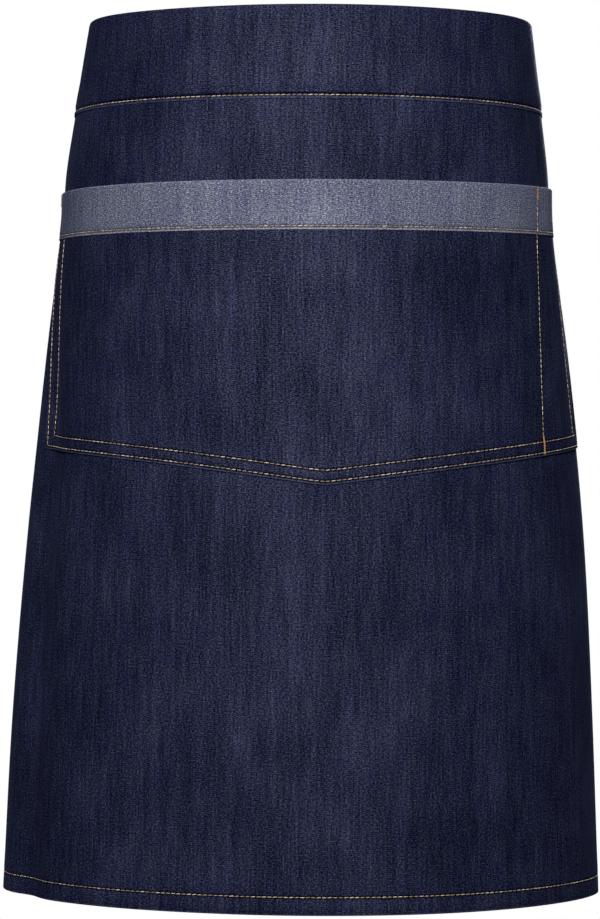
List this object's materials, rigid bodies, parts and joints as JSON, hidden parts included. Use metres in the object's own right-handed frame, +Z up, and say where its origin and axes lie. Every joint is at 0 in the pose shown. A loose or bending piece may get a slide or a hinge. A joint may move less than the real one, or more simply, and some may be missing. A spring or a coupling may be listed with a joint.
{
  "type": "waist apron",
  "caption": "Worn half apron of dark denim: folded waistband, flaring skirt, wide front pocket with a shallow V bottom, a light mouth band and a pen pocket, tied behind.",
  "frame": {"origin": "middle of the waist that the apron is tied round, at mid-height of the waistband", "axes": "+Z up out of the waist, -Y to the front of the apron, +X to the wearer's left"},
  "size_m": [0.3449, 0.2513, 0.4992],
  "materials": {
    "denim": "matt indigo twill",
    "reversed_denim": "matt, the light side of the same twill"
  },
  "bodies": {
    "root": {"skirt_panel": "denim", "waistband": "denim", "pocket_panel": "denim", "pocket_mouth_band": "reversed_denim", "left_tie": "denim", "right_tie": "denim", "tie_knot": "denim", "left_tie_tail": "denim", "right_tie_tail": "denim"}
  },
  "joints": []
}
